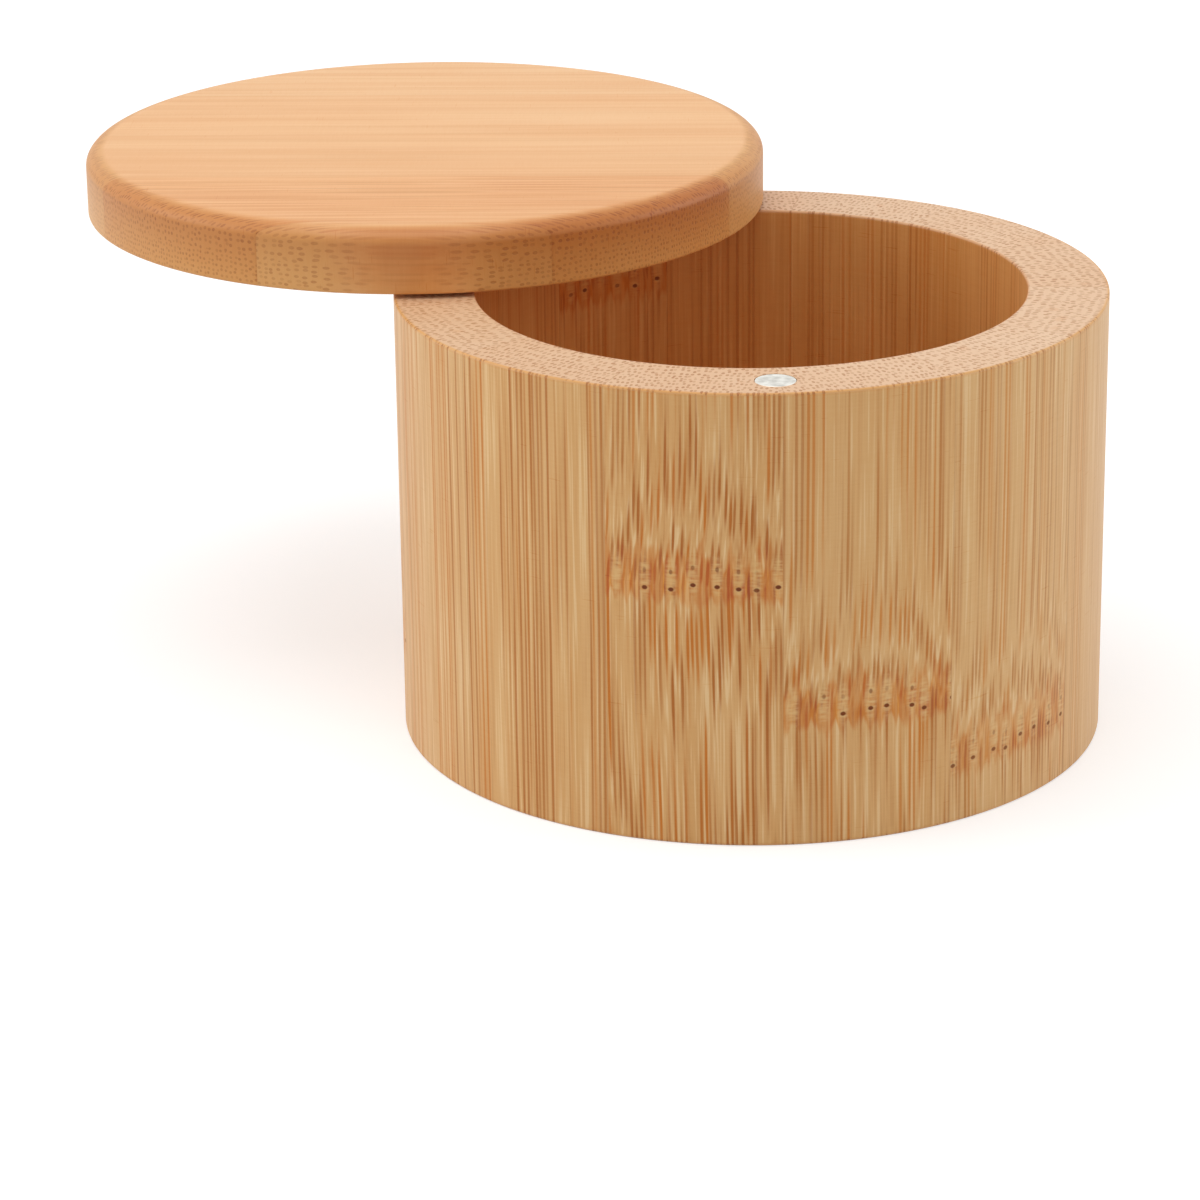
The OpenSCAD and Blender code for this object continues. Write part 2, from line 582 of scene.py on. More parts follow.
@dataclass(frozen=True)
class SandedBamboo:
    """Solid bamboo, sawn, glued up, turned and sanded bare.

    To the eye it is straight fine lines along the grain, where fibre bundles lie in paler pith. The same bundles
    show as brown dots where the surface cuts across them, small and dense towards the culm's outside. Near a node
    they bend, so that they show as dashes, and the node itself is an orange band with a row of dark pits.
    """

    name: str
    # Along the grain: the pith between the fibres, from light to dark, and the bundles, most of them brown.
    cream: str = "#F2D09C"
    pale: str = "#E6B97E"
    tan: str = "#D49E5B"
    brown: str = "#B46A18"
    orange: str = "#C87512"
    orange_dice: Pair = (0.55, 0.75)
    # How dark the lines are, how much of it a line's dice give and how much each line has, and the distance from a
    # bundle, as a share of the spacing, where its line begins and is full.
    line_share: float = 0.9
    line_bold: Pair = (0.4, 0.6)
    line_reach: Pair = (0.43, 0.13)
    # The fibre noise at which the pith begins to turn light or dark and fully is, and how strongly it does.
    fibre_light: Pair = (0.46, 0.3)
    fibre_dark: Pair = (0.5, 0.72)
    light_share: float = 0.65
    dark_share: float = 0.3
    # The lines are fainter in the bore, and stronger near a node.
    bore_calm: float = 0.4
    node_boost: float = 0.28
    # Across the grain: the pith and the dots, how dark they are, how much of it dice give and each dot has, how far
    # they reach, as a share of the spacing, how much of that is full, and their slightly paler hearts.
    # It begins and is full where the surface cuts the grain as squarely as end_from says.
    end_from: Pair = (0.05, 0.25)
    end_pale: str = "#DFB791"
    end_brown: str = "#A3642A"
    dot_share: float = 0.75
    dot_bold: Pair = (0.6, 0.4)
    dot_reach: float = 0.35
    dot_core: float = 0.7
    heart_reach: Pair = (0.13, 0.04)
    heart_share: float = 0.85
    # The node: its band's tint, how far the ragged noise moves the band's upper and lower edge and where these begin
    # and are full, in millimetres, the band's least and full strength, and its roots, each with a pale oval, a pit
    # and a smaller second pit.
    node_tint: str = "#EDB852"
    band_top: Triple = (14.0, 12.2, 9.6)
    band_foot: Triple = (-6.0, -5.4, -4.0)
    band_share: Pair = (0.45, 1.0)
    root_mm: float = 2.8
    root_unevenness: float = 0.5
    root_scatter_mm: float = 1.1
    root_pale: str = "#E6BE80"
    pit: str = "#78390C"
    oval_mark: RootMark = RootMark(1.3, 0.68, 2.6, 0.5)
    pit_mark: RootMark = RootMark(0.0, 0.34, 0.26, 0.3)
    second_mark: RootMark = RootMark(2.2, 0.22, 0.3, 0.4)
    second_share: float = 0.7
    pit_dice: Pair = (0.1, 0.25)
    # Glue lines, and the tints of the edges and of the bore. Inside the wall's bore the tint is painted shade, and
    # where the lid's edge reaches over the box the edge tint is painted shade.
    seam: str = "#B0763C"
    seam_reach_mm: Pair = (0.14, 0.02)
    joint_share: float = 0.35
    burnish: str = "#FBE3AB"
    bore: str = "#F8E4CA"
    # Spacing of the bundles near the culm's outside and inside, the depth where one gives way to the other and half
    # the width of that change, the spacing across as a share of that through the strip, and how uneven it is.
    fine_mm: float = 0.62
    coarse_mm: float = 0.7
    change_mm: float = 4.6
    change_half_mm: float = 0.6
    row_share: float = 0.55
    unevenness: float = 0.55
    # How far the bundles sway sideways and drift in depth, and how far and over what lengths they bend at a node.
    sway_mm: float = 0.3
    drift_mm: float = 0.9
    bend_mm: float = 2.4
    lean_mm: float = 0.6
    bend_up_mm: float = 23.0
    bend_down_mm: float = 110.0
    # Shade: broad streaks between pale and tan, clouds, the sanding belt's ripples and its few light scratches, and
    # how much all of it darkens.
    broad_share: float = 0.14
    cloud_share: float = 0.14
    belt_share: float = 0.015
    scratch_from: Pair = (0.7, 0.76)
    scratch_share: float = 0.12
    shade_power: float = 1.5
    # Relief of lines, dots and pits, in shares of the bump's height, and how much rougher lines and pits are.
    line_relief: float = -0.4
    dot_relief: float = -1.6
    pit_relief: float = -1.2
    relief_mm: float = 0.03
    relief_strength: float = 0.6
    roughness: float = 0.44
    line_rough: float = 0.1
    pit_rough: float = 0.4
    sheen: float = 0.2
    sheen_roughness: float = 0.4
    sheen_tint: str = "#F3C795"
    # The noises behind all this.
    wander_noise: Noise = Noise((0.05, 0.05, 0.03))
    broad_noise: Noise = Noise((0.45, 0.45, 0.012))
    fibre_noise: Noise = Noise((3.3, 3.3, 0.05))
    ragged_noise: Noise = Noise((1.3, 1.3, 0.12), 2.0)
    oval_noise: Noise = Noise((0.6, 0.6, 3.2))
    cloud_noise: Noise = Noise((0.11, 0.11, 0.03))
    belt_noise: Noise = Noise((0.25, 0.25, 4.0))

    def bundles(self, put: Put, at: Sockets) -> None:
        """Adds the place in the bundle pattern, the distance from the nearest bundle and its dice to the sockets.

        The bundles are the cells of a Voronoi pattern across the grain, drawn out through the strip. It stays the
        same along the grain apart from a slow wander over some 30 mm and the bend at a node. The bend and a smaller
        lean are their depths times (1 - distance / length)^2, with one length above the node and another below it.
        near, which makes the lines stronger, is that same share, and fades sooner below the node.

        Args:
            put: Adds a node.
            at: The strip's sockets, to which these are added.
        """
        slow = self.wander_noise.draw(put, at["place"], "Color")
        slow = put("VectorMath", slow, (0.5, 0.5, 0.5), operation="SUBTRACT")
        slow = put("VectorMath", slow, (self.sway_mm, self.drift_mm, 0.0), **TIMES)
        wander = put("VectorMath", slow, sockets={"Scale": at["wild"]}, **SCALED)
        over = put("MapRange", at["above"], 0.0, self.bend_up_mm, 1.0, 0.0)
        under = put("MapRange", at["above"], -self.bend_down_mm, 0.0)
        bend = put("Math", put("Math", over, under, **TIMES), 2.0, operation="POWER")
        bend = put("Math", bend, at["strength"], **TIMES)
        close = put("MapRange", at["above"], -self.bend_up_mm, 0.0)
        at["near"] = put("Math", bend, close, **TIMES, use_clamp=True)
        bent = put("VectorMath", (self.lean_mm, self.bend_mm, 0.0), sockets={"Scale": bend}, **SCALED)
        cell = put("VectorMath", put("VectorMath", at["place"], wander, **PLUS), bent, **PLUS)
        cell = put("VectorMath", cell, (1.0, self.row_share, 1.0), **TIMES)
        coarse, fine = (
            put("TexVoronoi", cell, sockets={"Scale": scale, "Randomness": self.unevenness}, voronoi_dimensions="2D")
            for scale in (1 / self.coarse_mm, 1 / self.fine_mm)
        )
        start, end = self.change_mm - self.change_half_mm, self.change_mm + self.change_half_mm
        outer = put("MapRange", at["depth"], start, end, **EASED)
        at["cell"] = cell
        at["apart"] = put("Mix", outer, sockets={2: coarse, 3: fine})
        dice = put("Mix", outer, sockets=between(*(it.node.outputs["Color"] for it in (coarse, fine))), **COLOURS)
        at.update(zip(("dice_a", "dice_b"), put("SeparateXYZ", dice).node.outputs))

    def along_grain(self, put: Put, at: Sockets) -> tuple[Socket, Socket]:
        """Draws the surface that runs along the grain: broad streaks, fibres about 0.3 mm apart, and bundles.

        Args:
            put: Adds a node.
            at: The strip's sockets.

        Returns:
            The colour, and how dark the lines are, from 0 to 1.
        """
        broad = self.broad_noise.draw(put, at["place"])
        broad = put("MapRange", broad, 0.3, 0.7, 0.5 - self.broad_share, 0.5 + self.broad_share, **EASED)
        colour = put("Mix", broad, sockets=between(self.pale, self.tan), **COLOURS)
        fibre = self.fibre_noise.draw(put, at["cell"])
        calm = put("Math", at["bore"], -self.bore_calm, 1.0, **TIMES_PLUS)
        power = put("Math", at["contrast"], put("Math", calm, self.line_share, **TIMES), **TIMES)
        power = put("Math", at["near"], self.node_boost, power, **TIMES_PLUS)
        light = put("MapRange", fibre, *self.fibre_light, **EASED)
        light = put("Math", light, put("Math", power, self.light_share, **TIMES), **TIMES)
        colour = put("Mix", light, sockets=between(colour, self.cream), **COLOURS)
        dark = put("MapRange", fibre, *self.fibre_dark, **EASED)
        bundle = put("MapRange", at["apart"], *self.line_reach, **EASED)
        bundle = put("Math", bundle, put("Math", at["dice_a"], *self.line_bold, **TIMES_PLUS), **TIMES)
        line = put("Math", dark, self.dark_share, bundle, **TIMES_PLUS, use_clamp=True)
        line = put("Math", line, power, **TIMES, use_clamp=True)
        fiery = put("MapRange", at["dice_b"], *self.orange_dice, **EASED)
        ink = put("Mix", fiery, sockets=between(self.brown, self.orange), **COLOURS)
        return put("Mix", line, sockets=between(colour, ink), **COLOURS), line

    def across_grain(self, put: Put, at: Sockets) -> tuple[Socket, Socket]:
        """Draws the surface that cuts the grain: a brown dot with a slightly paler heart for each bundle.

        Args:
            put: Adds a node.
            at: The strip's sockets.

        Returns:
            The colour, and how dark the dots are, from 0 to 1.
        """
        core = self.dot_reach * self.dot_core
        dot = put("MapRange", at["apart"], self.dot_reach, core, 0.0, self.dot_share, **EASED)
        heart = put("MapRange", at["apart"], *self.heart_reach, 1.0, self.heart_share, **EASED)
        bold = put("Math", at["dice_a"], *self.dot_bold, **TIMES_PLUS)
        dot = put("Math", put("Math", dot, heart, **TIMES), bold, **TIMES)
        return put("Mix", dot, sockets=between(self.end_pale, self.end_brown), **COLOURS), dot

    def node_row(self, put: Put, at: Sockets, colour: Socket) -> tuple[Socket, Socket]:
        """Draws the node over the grain: an orange band, and roots' pits in pale ovals some 3 mm apart.

        The roots are the cells of a Voronoi pattern along the row, and a root's dice raise or lower it a little,
        leave its pit out or set how dark its second pit is.

        Args:
            put: Adds a node.
            at: The strip's sockets.
            colour: The grain's colour.

        Returns:
            The colour, and the depth of the pits, from 0 to 1.
        """
        walk = put("Math", at["seed"], ROOT_STEP_MM, at["across"], **TIMES_PLUS)
        cells = {"W": walk, "Scale": 1 / self.root_mm, "Randomness": self.root_unevenness}
        roots = put("TexVoronoi", sockets=cells, voronoi_dimensions="1D")
        dice = put("SeparateXYZ", roots.node.outputs["Color"]).node.outputs
        sideways = put("Math", roots, self.root_mm, **TIMES)
        lift = put("Math", dice[1], self.root_scatter_mm, -self.root_scatter_mm / 2, **TIMES_PLUS)
        height = put("Math", at["above"], lift, operation="SUBTRACT")
        oval, pit, second = (
            put("Math", mark.draw(put, sideways, height), at["strength"], **TIMES)
            for mark in (self.oval_mark, self.pit_mark, self.second_mark)
        )
        pit = put("Math", pit, put("MapRange", dice[2], *self.pit_dice, **EASED), **TIMES)
        second = put("Math", second, put("Math", dice[0], self.second_share, **TIMES), **TIMES)
        pit = put("Math", pit, second, operation="MAXIMUM")

        ragged = self.ragged_noise.draw(put, at["cell"])
        edges = []
        for reach, start, full in (self.band_top, self.band_foot):
            edge = put("Math", ragged, reach, at["above"], **TIMES_PLUS)
            edges.append(put("MapRange", edge, start, full, **EASED))
        band = put("Math", put("Math", *edges, **TIMES), at["strength"], **TIMES)
        band = put("Math", band, put("MapRange", ragged, 0.3, 0.65, *self.band_share, **EASED), **TIMES)
        tinted = put("Mix", band, sockets=between(colour, self.node_tint), **COLOURS, blend_type="MULTIPLY")
        ripple = put("MapRange", self.oval_noise.draw(put, at["place"]), 0.35, 0.65, 0.3, 0.8)
        oval = put("Math", oval, ripple, **TIMES)
        tinted = put("Mix", oval, sockets=between(tinted, self.root_pale), **COLOURS)
        return put("Mix", pit, sockets=between(tinted, self.pit), **COLOURS), pit

    def shade(self, put: Put, at: Sockets) -> Socket:
        """Works out the strip's shade, with broad clouds and fine ripples across the grain from the sanding belt.

        Args:
            put: Adds a node.
            at: The strip's sockets.

        Returns:
            The power that the colour is raised to, because darker bamboo is redder too.
        """
        half = self.cloud_share / 2
        cloud = put("MapRange", self.cloud_noise.draw(put, at["place"]), 0.0, 1.0, -half, half)
        belt = self.belt_noise.draw(put, at["place"])
        scratch = put("MapRange", belt, *self.scratch_from, 0.0, -self.scratch_share)
        sanded = put("MapRange", belt, 0.3, 0.7, -self.belt_share, self.belt_share)
        sanded = put("Math", sanded, scratch, **PLUS)
        shade = put("Math", put("Math", at["tone"], cloud, **PLUS), sanded, **PLUS)
        return put("Math", shade, -self.shade_power, 1.0 + self.shade_power, **TIMES_PLUS)

    def material(self) -> Material:
        """Builds the finish from the grain, the node, glue lines, wear and shade.

        Returns:
            The material.
        """
        material, put = blank_material(self.name)
        at = strip_sockets(put)
        self.bundles(put, at)
        long, line = self.along_grain(put, at)
        cross, dot = self.across_grain(put, at)
        squarely = put("MapRange", at["end"], *self.end_from, **EASED)
        colour = put("Mix", squarely, sockets=between(long, cross), **COLOURS)
        colour, pit = self.node_row(put, at, colour)

        seam = put("Math", at["left"], at["right"], operation="MINIMUM")
        joint = put("MapRange", seam, *self.seam_reach_mm, 0.0, self.joint_share, **EASED)
        colour = put("Mix", joint, sockets=between(colour, self.seam), **COLOURS)
        # Inside the wall's bore this tint is painted shade, and where the lid's edge reaches over the box the edge
        # tint is painted shade too.
        for share, tint in ((at["burnish"], self.burnish), (at["bore"], self.bore)):
            colour = put("Mix", share, sockets=between(colour, tint), **COLOURS, blend_type="MULTIPLY")
        colour = put("Gamma", colour, self.shade(put, at))

        lines = put("Math", line, self.line_relief, **TIMES)
        dots = put("Math", dot, self.dot_relief, **TIMES)
        relief = put("Mix", squarely, sockets={2: lines, 3: dots})
        relief = put("Math", pit, self.pit_relief, relief, **TIMES_PLUS)
        height = {"Strength": self.relief_strength, "Distance": self.relief_mm * METRES, "Height": relief}
        rough = put("Math", line, self.line_rough, self.roughness, **TIMES_PLUS)
        sockets = {
            "Base Color": colour,
            "Roughness": put("Math", pit, self.pit_rough, rough, **TIMES_PLUS),
            "Normal": put("Bump", sockets=height),
            "Sheen Weight": self.sheen,
            "Sheen Roughness": self.sheen_roughness,
            "Sheen Tint": linear(self.sheen_tint),
        }
        put("OutputMaterial", put("BsdfPrincipled", sockets=sockets))
        return material


@dataclass(frozen=True)
class NickelPlate:
    """Nickel plating on a pressed and ground disc magnet: a bright grey that is mottled and finely scratched."""

    name: str = "nickel_plated_ground_magnet"
    bright: str = "#F0EFE8"
    dull: str = "#CCCAC2"
    roughness: float = 0.42
    unevenness: float = 0.3
    blotches_per_m: float = 900.0
    scratches_per_m: Triple = (300.0, 9000.0, 300.0)
    scratch_turn: float = 0.5
    scratch_mm: float = 0.01

    def material(self) -> Material:
        """Builds the finish from blotches of about 1 mm, where the plating was handled, over a fine ground face.

        Returns:
            The material.
        """
        material, put = blank_material(self.name)
        here = put("TexCoord", out="Object")
        blotch = put("TexNoise", here, sockets={"Scale": self.blotches_per_m, "Detail": 3.0})
        spread = {"Scale": self.scratches_per_m, "Rotation": (0.0, 0.0, self.scratch_turn)}
        scratch = put("TexNoise", put("Mapping", here, sockets=spread), sockets={"Scale": 1.0, "Detail": 2.0})
        share = put("MapRange", blotch, 0.35, 0.65)
        colour = put("Mix", share, sockets=between(self.dull, self.bright), **COLOURS)
        rough = put("Math", blotch, self.unevenness, self.roughness - self.unevenness / 2, **TIMES_PLUS)
        bumps = put("Bump", sockets={"Strength": 0.25, "Distance": self.scratch_mm * METRES, "Height": scratch})
        sockets = {"Base Color": colour, "Metallic": 1.0, "Roughness": rough, "Normal": bumps}
        put("OutputMaterial", put("BsdfPrincipled", sockets=sockets))
        return material


@dataclass(frozen=True)
class DrawnSteel:
    """Bright drawn steel, cut to length: a cool grey with fine marks round it."""

    name: str = "bright_drawn_steel"
    bright: str = "#C9CCCE"
    dull: str = "#9C9FA1"
    roughness: float = 0.3
    unevenness: float = 0.2
    marks_per_m: Triple = (400.0, 400.0, 6600.0)
    mark_mm: float = 0.005

    def material(self) -> Material:
        """Builds the finish from tool marks 0.15 mm apart, drawn coarser than real ones so that they show.

        Returns:
            The material.
        """
        material, put = blank_material(self.name)
        here = put("Mapping", put("TexCoord", out="Object"), sockets={"Scale": self.marks_per_m})
        marks = put("TexNoise", here, sockets={"Scale": 1.0, "Detail": 2.0})
        colour = put("Mix", marks, sockets=between(self.dull, self.bright), **COLOURS)
        rough = put("Math", marks, self.unevenness, self.roughness - self.unevenness / 2, **TIMES_PLUS)
        bumps = put("Bump", sockets={"Strength": 0.3, "Distance": self.mark_mm * METRES, "Height": marks})
        sockets = {"Base Color": colour, "Metallic": 1.0, "Roughness": rough, "Normal": bumps}
        put("OutputMaterial", put("BsdfPrincipled", sockets=sockets))
        return material


def seat(piece: Piece, material: Material, body: Body, nodes: Sequence[str]) -> Piece:
    """Gives a piece its material and its body, and hides the CAD nodes that it stands for.

    Args:
        piece: The piece.
        material: Its material.
        body: The body that it moves with.
        nodes: The CAD nodes.

    Returns:
        The piece.
    """
    piece.data.materials.clear()
    piece.data.materials.append(material)
    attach(piece, body.value)
    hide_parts(*nodes)
    LOG.info("%s: %d points, rides on %s", piece.name, len(piece.data.vertices), body.value)
    return piece


# --- sub-assemblies ---


@dataclass
class Closure:
    """What the wall and the lid share where they meet: the pin's and the magnets' places and holes."""

    rim_z: float = 57.5
    lid_z: float = 58.05
    pin_direction: float = 183.0
    pin_radius: float = 41.4
    pin_d: float = 3.0
    pin_l: float = 14.0
    pin_seat: float = 8.0
    pin_glue: float = 0.02
    pin_play: float = 0.05
    pin_end_gap: float = 0.3
    pin_ease: float = 0.25
    pin_steps: int = 64
    washer_d: float = 7.0
    washer_hole: float = 3.2
    washer_t: float = 0.5
    washer_ease: float = 0.1
    magnet_direction: float = 4.2
    magnet_radius: float = 39.9
    magnet_d: float = 5.0
    magnet_t: float = 3.0
    magnet_glue: float = 0.05
    magnet_ease: float = 0.12
    magnet_steps: int = 96
    swing: float = 90.0

    @property
    def pin(self) -> np.ndarray:
        """Where the pin's axis stands."""
        return outward(self.pin_direction) * self.pin_radius

    @property
    def rim_magnet(self) -> np.ndarray:
        """Where the rim magnet's axis stands."""
        return outward(self.magnet_direction) * self.magnet_radius

    def swung(self, point: np.ndarray) -> np.ndarray:
        """Turns a point of the closed lid about the pin to where the open lid rests.

        Args:
            point: x, y, z with the lid closed.

        Returns:
            The point with the lid swung open.
        """
        turn = math.radians(-self.swing)
        spin = np.array([[math.cos(turn), -math.sin(turn), 0], [math.sin(turn), math.cos(turn), 0], [0, 0, 1]])
        return self.pin + spin @ (point - self.pin)

    def cutter(self, centre: np.ndarray, radius: float, low: float, high: float) -> Piece:
        """Makes a round cutter that stands on a centre and reaches from one height to another."""
        outline = np.array([[0.0, low], [radius, low], [radius, high], [0.0, high]])
        return turned("cutter", outline, centre, self.pin_steps)

    def cutters(self) -> tuple[list[Piece], list[Piece]]:
        """Makes the cutters of the magnet's pocket and the pin's hole, which reach 1 mm out of the wood.

        Returns:
            The two cutters of the rim, and the two of the lid's underside.
        """
        magnet_r, pocket = self.magnet_d / 2 + self.magnet_glue, self.magnet_t + self.magnet_glue
        in_rim = self.pin_seat + self.pin_end_gap
        in_lid = self.pin_l - self.pin_seat - (self.lid_z - self.rim_z) + self.pin_end_gap
        rim_top, lid_foot = self.rim_z + 1, self.lid_z - 1
        return [
            self.cutter(self.rim_magnet, magnet_r, self.rim_z - pocket, rim_top),
            self.cutter(self.pin, self.pin_d / 2 + self.pin_glue, self.rim_z - in_rim, rim_top),
        ], [
            self.cutter(self.swung(self.rim_magnet), magnet_r, lid_foot, self.lid_z + pocket),
            self.cutter(self.pin, self.pin_d / 2 + self.pin_play, lid_foot, self.lid_z + in_lid),
        ]

    def build(self, steel: Material, nickel: Material) -> list[Piece]:
        """Builds the pin, the washer and the two magnets.

        Args:
            steel: Material of the pin and the washer.
            nickel: Material of the magnets.

        Returns:
            The four pieces.
        """
        foot = self.rim_z - self.pin_seat
        outline = disc_outline(self.pin_d / 2, foot, foot + self.pin_l, self.pin_ease)
        pin = turned("swivel_pin", outline, self.pin, self.pin_steps)
        inner, outer = self.washer_hole / 2, self.washer_d / 2
        corners = np.array([[inner, 0], [outer, 0], [outer, self.washer_t], [inner, self.washer_t]])
        loop = eased_outline(corners, np.full(4, self.washer_ease), margin=self.washer_ease / 2)
        washer = turned("swivel_washer", loop, self.pin + np.array(UP) * self.rim_z, self.pin_steps, ring=True)
        places = (
            ("closing_magnet_rim", self.rim_z - self.magnet_t, self.rim_magnet),
            ("closing_magnet_lid", self.lid_z, self.swung(self.rim_magnet)),
        )
        rim, lid = (
            turned(
                name,
                disc_outline(self.magnet_d / 2, low, low + self.magnet_t, self.magnet_ease),
                axis,
                self.magnet_steps,
            )
            for name, low, axis in places
        )
        return [
            seat(pin, steel, Body.BOX, ["pivot_pin"]),
            seat(washer, steel, Body.BOX, ["spacer_washer"]),
            seat(rim, nickel, Body.BOX, ["rim_magnet"]),
            seat(lid, nickel, Body.LID, ["lid_magnet"]),
        ]


@dataclass
class Wall:
    """The wall: thirteen staves, turned outside and bored inside."""

    box_r: float = 45.0
    bore_r: float = 34.8
    box_h: float = 57.5
    ease: float = 0.3
    foot_ease: float = 0.06
    seam_turn: float = 4.9
    count: int = 13
    steps: int = 16
    edge_tint_mm: Pair = (0.14, 0.42)
    bore_mm: Pair = (0.05, 0.35)
    nodes: dict[int, Node] = field(
        default_factory=lambda: {
            1: Node(16.7, -0.02),
            2: Node(8.3, 0.03, 0.9),
            5: Node(21.0, 0.02, 0.8),
            8: Node(48.4, -0.02, 0.9),
            10: Node(12.5, 0.0, 0.8),
            13: Node(33.2, 0.0),
        }
    )
    tones: tuple[float, ...] = (1.0, 1.05, 1.03, 0.98, 1.0, 1.02, 0.98, 1.0, 1.01, 1.0, 1.02, 0.99, 0.96)
    contrasts: tuple[float, ...] = (0.85, 0.75, 0.6, 0.9, 1.0, 0.9, 1.0, 0.9, 1.0, 0.8, 0.9, 1.0, 1.1)
    wild: dict[int, float] = field(default_factory=lambda: {2: 1.5, 13: 2.6})

    def strip(self, number: int) -> Strip:
        """Tells how one stave's grain lies: upright, with the culm's outside towards the outside of the box.

        Args:
            number: The stave's number, from 1.

        Returns:
            The strip.
        """
        angle = 360 / self.count
        start = self.seam_turn + angle * (number - 1)
        middle = start + angle / 2
        return Strip(
            heart=tuple(outward(middle) * self.bore_r),
            across=tuple(outward(middle + 90)),
            depth=tuple(outward(middle)),
            along=UP,
            seams=((tuple(outward(start + 90)), 0.0), (tuple(outward(start + angle - 90)), 0.0)),
            seed=number + 0.37,
            tone=self.tones[number - 1],
            contrast=self.contrasts[number - 1],
            wild=self.wild.get(number, 1.0),
            node=self.nodes.get(number, NO_NODE),
        )

    def tints_and_shade(self, points: np.ndarray) -> TwoArrays:
        """Gives the wall's tints: a tint on the outer edges of rim and foot, and painted shade on the inside of the
        bore.

        Args:
            points: x, y, z in millimetres.

        Returns:
            Edge tint and painted shade of each point.
        """
        radius = np.hypot(points[:, 0], points[:, 1])
        top = np.hypot(radius - self.box_r, points[:, 2] - self.box_h)
        foot = np.hypot(radius - self.box_r, points[:, 2])
        # The second share paints shade over the whole inside of the bore.
        return 1 - smooth(np.minimum(top, foot), *self.edge_tint_mm), 1 - smooth(radius - self.bore_r, *self.bore_mm)

    def build(self, material: Material, cutters: Sequence[Piece]) -> list[Piece]:
        """Builds the staves.

        Args:
            material: Their material.
            cutters: The cutters of the pocket and the hole in the rim.

        Returns:
            The staves.
        """
        corners = np.array([[self.bore_r, 0], [self.box_r, 0], [self.box_r, self.box_h], [self.bore_r, self.box_h]])
        outline = eased_outline(corners, np.array([self.foot_ease, self.ease, self.ease, self.ease]))
        angle = 360 / self.count
        made = []
        for number in range(1, self.count + 1):
            start = self.seam_turn + angle * (number - 1)
            piece = swept_sector(f"wall_stave_{number:02d}", outline, start, start + angle, self.steps)
            near = [cutter for cutter in cutters if self.meets(cutter, start, start + angle)]
            if near:
                cut_by(piece, near)
            self.strip(number).dress(piece, self.tints_and_shade)
            made.append(seat(piece, material, Body.BOX, [f"stave_{number:02d}"]))
        return made

    def meets(self, cutter: Piece, start: float, end: float) -> bool:
        """Tells whether a cutter reaches between two directions.

        Args:
            cutter: The cutter.
            start: The first direction in degrees.
            end: The second one.

        Returns:
            True if any of its points lies between them.
        """
        points = read(cutter.data.vertices, "co")
        turn = np.degrees(np.arctan2(points[:, 0], -points[:, 1]))
        return bool(np.any((turn - start) % 360 < end - start))


@dataclass
class Board:
    """A round board glued up from parallel strips, the culm's outside down, which the floor and the lid both are."""

    name: str
    node: str
    body: Body
    slot: Slot
    high: float
    centre: Triple
    grain_turn: float
    seams: tuple[float, ...]
    seed: float
    steps: int
    tones: tuple[float, ...]
    contrasts: tuple[float, ...] = (1.0, 1.0, 1.0, 1.0, 1.0)

    @property
    def side(self) -> np.ndarray:
        """Unit vector across the strips."""
        turn = math.radians(self.grain_turn)
        return np.array([-math.sin(turn), math.cos(turn), 0.0])

    def strip(self, number: int) -> Strip:
        """Tells how one strip's grain lies: flat, along the board's grain direction.

        Args:
            number: The strip's number, from 1.

        Returns:
            The strip.
        """
        turn = math.radians(self.grain_turn)
        side, base = self.side, np.array(self.centre)
        start, end = self.seams[number - 1], self.seams[number]
        offset = float(base @ side)
        return Strip(
            heart=tuple(base + side * (start + end) / 2 + np.array(UP) * self.high),
            across=tuple(side),
            depth=(0.0, 0.0, -1.0),
            along=(math.cos(turn), math.sin(turn), 0.0),
            seams=((tuple(side), offset + start), (tuple(-side), -offset - end)),
            seed=self.seed + number,
            tone=self.tones[number - 1],
            contrast=self.contrasts[number - 1],
        )

    def build(
        self, outline: np.ndarray, material: Material, tints_and_shade: TintsAndShade, cuts: dict[int, Sequence[Piece]]
    ) -> list[Piece]:
        """Turns a disc and cuts it into the board's strips.

        Args:
            outline: The disc's outline as (radius, height).
            material: The strips' material.
            tints_and_shade: The strips' edge tint and bore tint, partly painted shade.
            cuts: The cutters of strips with holes, by the strip's number.

        Returns:
            The strips.
        """
        disc = turned("disc", outline, self.centre, self.steps)
        offset = float(np.array(self.centre) @ self.side)
        # The first and the last plane stand clear of the disc, which they would only touch.
        planes = (self.seams[0] - 1.0, *self.seams[1:-1], self.seams[-1] + 1.0)
        made = []
        for number, (start, end) in enumerate(zip(planes[:-1], planes[1:]), 1):
            piece = sliced(disc, f"{self.name}_{number}", self.side, offset + start, offset + end)
            if number in cuts:
                cut_by(piece, cuts[number])
            self.strip(number).dress(piece, tints_and_shade)
            made.append(seat(piece, material, self.body, [f"{self.node}_{number}"]))
        discard([disc])
        return made


@dataclass
class FloorBoard:
    """The floor: four strips, cut round and glued flush into the foot of the wall."""

    radius: float = 34.75
    thickness: float = 8.0
    ease: float = 0.06
    edge_w: float = 13.0
    turn: float = 35.0
    steps: int = 192
    tones: tuple[float, ...] = (1.0, 0.97, 1.02, 0.98)

    def build(self, material: Material) -> list[Piece]:
        """Builds the strips.

        Args:
            material: Their material.

        Returns:
            The strips.
        """
        width = (2 * self.radius - self.edge_w) / 3
        seams = (-self.radius, -self.radius + width, -self.radius + 2 * width, self.radius - self.edge_w, self.radius)
        board = Board(
            name="floor_board",
            node="floor_strip",
            body=Body.BOX,
            slot=Slot.FLOOR,
            high=self.thickness,
            centre=(0.0, 0.0, 0.0),
            grain_turn=self.turn,
            seams=seams,
            seed=40.0,
            steps=self.steps,
            tones=self.tones,
        )
        return board.build(disc_outline(self.radius, 0.0, self.thickness, self.ease), material, untinted, {})


